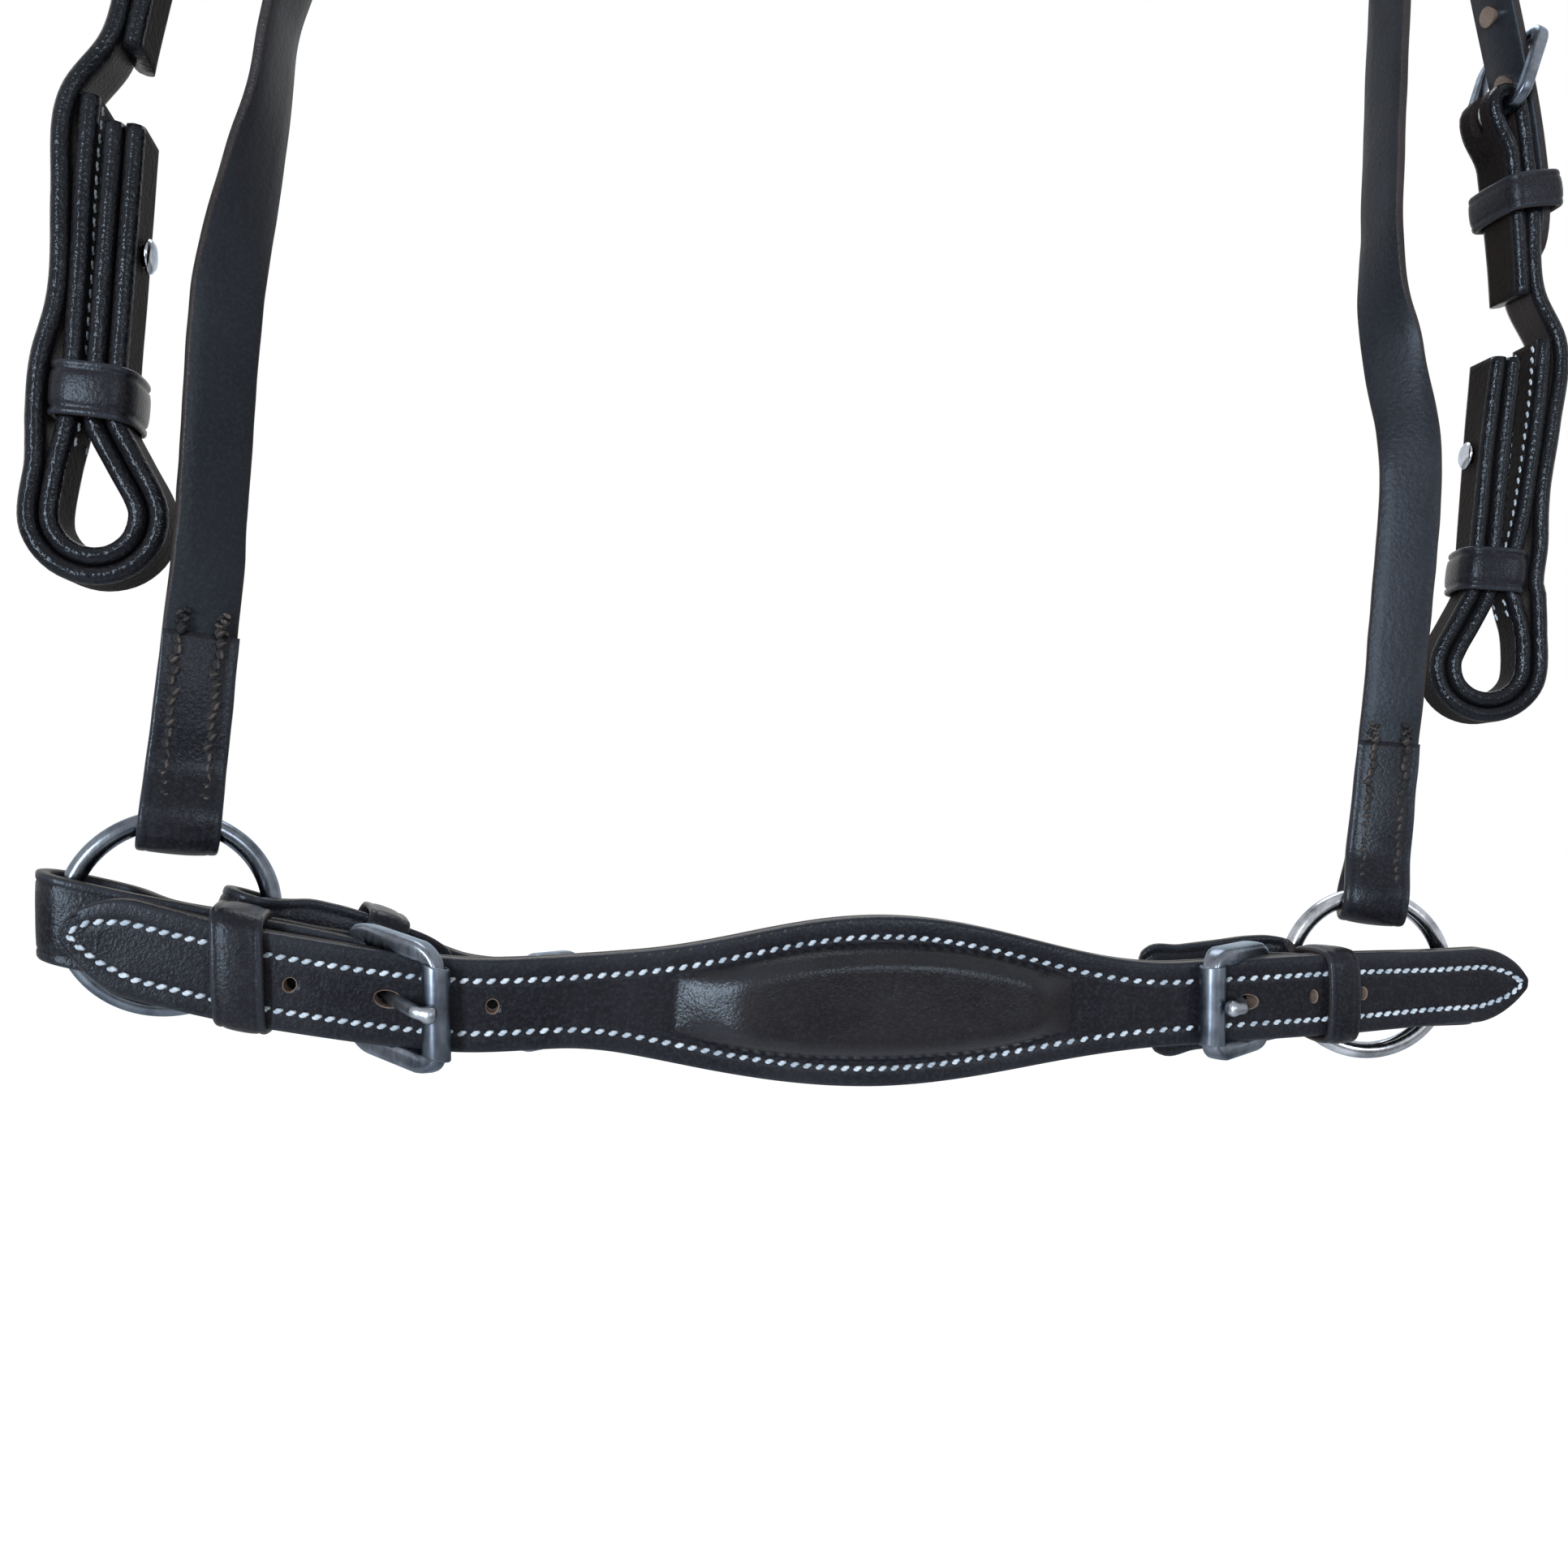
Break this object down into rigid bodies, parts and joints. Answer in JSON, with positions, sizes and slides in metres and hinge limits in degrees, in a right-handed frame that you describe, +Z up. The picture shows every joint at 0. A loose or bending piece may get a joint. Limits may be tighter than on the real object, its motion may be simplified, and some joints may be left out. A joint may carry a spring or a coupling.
{
  "type": "horse bridle",
  "caption": "Leather bridle with a padded drop noseband, ring-hung on a sliphead, with buckled cheekpieces, browband and throatlash.",
  "frame": {"origin": "under the middle of the crown, where the poll carries the sliphead", "axes": "+Z up, from the noseband to the poll; +X to the right as seen from the front; -Y forward, towards the browband"},
  "size_m": [0.3575, 0.1738, 0.5252],
  "materials": {
    "bridle_leather": "dark brown, waxed",
    "lining_leather": "dark brown, soft",
    "steel": "worn satin"
  },
  "bodies": {
    "headstall": {"browband": "bridle_leather", "cheek_buckle_frame_left": "steel", "cheek_buckle_frame_right": "steel", "cheek_inner_left": "bridle_leather", "cheek_inner_right": "bridle_leather", "cheek_outer_left": "bridle_leather", "cheek_outer_right": "bridle_leather", "hanger_left": "bridle_leather", "headpiece": "bridle_leather", "hook_stud_left": "steel", "hook_stud_right": "steel", "loop_keeper_left": "bridle_leather", "loop_keeper_right": "bridle_leather", "sliphead": "bridle_leather", "sliphead_buckle_frame": "steel", "throat_buckle_frame_left": "steel", "throat_buckle_frame_right": "steel", "throatlash": "bridle_leather"},
    "noseband": {"nose_strap": "bridle_leather", "nose_strap_lining": "lining_leather", "nose_pad_filling": "lining_leather", "nose_chape_left": "bridle_leather", "nose_chape_right": "bridle_leather", "nose_buckle_frame_left": "steel", "nose_buckle_frame_right": "steel", "chin_strap": "bridle_leather", "chin_tab_left": "bridle_leather", "chin_buckle_frame": "steel"},
    "cheek_keeper_left": {"cheek_keeper_left": "bridle_leather"},
    "cheek_keeper_right": {"cheek_keeper_right": "bridle_leather"},
    "cheek_tongue_left": {"cheek_tongue_left": "steel"},
    "cheek_tongue_right": {"cheek_tongue_right": "steel"},
    "chin_keeper": {"chin_keeper": "bridle_leather"},
    "chin_tongue": {"chin_tongue": "steel"},
    "nose_keeper_left": {"nose_keeper_left": "bridle_leather"},
    "nose_keeper_right": {"nose_keeper_right": "bridle_leather"},
    "nose_roller_left": {"nose_roller_left": "steel"},
    "nose_roller_right": {"nose_roller_right": "steel"},
    "nose_tongue_left": {"nose_tongue_left": "steel"},
    "nose_tongue_right": {"nose_tongue_right": "steel"},
    "ring_left": {"ring_left": "steel"},
    "ring_right": {"ring_right": "steel"},
    "sliphead_keeper": {"sliphead_keeper": "bridle_leather"},
    "sliphead_tongue": {"sliphead_tongue": "steel"},
    "throat_keeper_left": {"throat_keeper_left": "bridle_leather"},
    "throat_keeper_right": {"throat_keeper_right": "bridle_leather"},
    "throat_tongue_left": {"throat_tongue_left": "steel"},
    "throat_tongue_right": {"throat_tongue_right": "steel"}
  },
  "joints": [
    {"name": "noseband_swing", "type": "hinge", "parent": "headstall", "child": "noseband", "pos_m": [0, -0.011, -0.471], "axis": [1, 0, 0], "range_deg": [-15, 15]},
    {"name": "cheek_keeper_left_slide", "type": "slide", "parent": "headstall", "child": "cheek_keeper_left", "axis": [-0.1671, 0, -0.9859], "range_m": [-0.003, 0.003]},
    {"name": "cheek_keeper_right_slide", "type": "slide", "parent": "headstall", "child": "cheek_keeper_right", "axis": [0.2236, 0, -0.9747], "range_m": [-0.003, 0.003]},
    {"name": "cheek_tongue_left_lift", "type": "hinge", "parent": "headstall", "child": "cheek_tongue_left", "pos_m": [-0.15045, -0.00296, -0.26956], "axis": [0.0023, -0.9999, 0.0099], "range_deg": [0, 3]},
    {"name": "cheek_tongue_right_lift", "type": "hinge", "parent": "headstall", "child": "cheek_tongue_right", "pos_m": [0.16105, -0.00296, -0.27005], "axis": [0.0029, 1, -0.0095], "range_deg": [0, 3]},
    {"name": "chin_keeper_slide", "type": "slide", "parent": "noseband", "child": "chin_keeper", "axis": [-0.9483, -0.265, 0.1745], "range_m": [-0.001, 0.001]},
    {"name": "chin_tongue_lift", "type": "hinge", "parent": "noseband", "child": "chin_tongue", "pos_m": [-0.06425, 0.00982, -0.50365], "axis": [0.1102, 0.0431, 0.993], "range_deg": [0, 3]},
    {"name": "nose_keeper_left_slide", "type": "slide", "parent": "noseband", "child": "nose_keeper_left", "axis": [-0.9824, 0, 0.1867], "range_m": [0, 0.003]},
    {"name": "nose_keeper_right_slide", "type": "slide", "parent": "noseband", "child": "nose_keeper_right", "axis": [0.9954, 0, 0.0958], "range_m": [0, 0.003]},
    {"name": "nose_roller_left_turn", "type": "hinge", "parent": "noseband", "child": "nose_roller_left", "pos_m": [-0.08481, -0.0304, -0.50527], "axis": [-0.2164, 0, -0.9763], "continuous": true},
    {"name": "nose_roller_right_turn", "type": "hinge", "parent": "noseband", "child": "nose_roller_right", "pos_m": [0.08458, -0.0304, -0.4966], "axis": [-0.0958, 0, 0.9954], "continuous": true},
    {"name": "nose_tongue_left_lift", "type": "hinge", "parent": "noseband", "child": "nose_tongue_left", "pos_m": [-0.10532, -0.0177, -0.50072], "axis": [-0.2164, 0, -0.9763], "range_deg": [0, 4]},
    {"name": "nose_tongue_right_lift", "type": "hinge", "parent": "noseband", "child": "nose_tongue_right", "pos_m": [0.10549, -0.0177, -0.49459], "axis": [-0.0958, 0, 0.9954], "range_deg": [0, 4]},
    {"name": "ring_left_turn", "type": "hinge", "parent": "noseband", "child": "ring_left", "pos_m": [-0.137, -0.011, -0.49], "axis": [0.2181, -0.9759, 0], "continuous": true},
    {"name": "ring_right_turn", "type": "hinge", "parent": "noseband", "child": "ring_right", "pos_m": [0.137, -0.011, -0.49], "axis": [0.2181, 0.9759, 0], "continuous": true},
    {"name": "sliphead_keeper_slide", "type": "slide", "parent": "headstall", "child": "sliphead_keeper", "axis": [-0.0423, 0.0029, -0.9991], "range_m": [-0.003, 0.003]},
    {"name": "sliphead_tongue_lift", "type": "hinge", "parent": "headstall", "child": "sliphead_tongue", "pos_m": [-0.12085, -0.00513, -0.24227], "axis": [0, -1, -0.0004], "range_deg": [0, 3]},
    {"name": "throat_keeper_left_slide", "type": "slide", "parent": "headstall", "child": "throat_keeper_left", "axis": [-0.0006, 0.5496, -0.8355], "range_m": [-0.002, 0]},
    {"name": "throat_keeper_right_slide", "type": "slide", "parent": "headstall", "child": "throat_keeper_right", "axis": [0.0006, 0.5496, -0.8355], "range_m": [-0.002, 0]},
    {"name": "throat_tongue_left_lift", "type": "hinge", "parent": "headstall", "child": "throat_tongue_left", "pos_m": [-0.1214, 0.02497, -0.17877], "axis": [0, -0.8291, -0.5591], "range_deg": [0, 3]},
    {"name": "throat_tongue_right_lift", "type": "hinge", "parent": "headstall", "child": "throat_tongue_right", "pos_m": [0.1214, 0.02497, -0.17877], "axis": [0, 0.8291, 0.5591], "range_deg": [0, 3]}
  ]
}
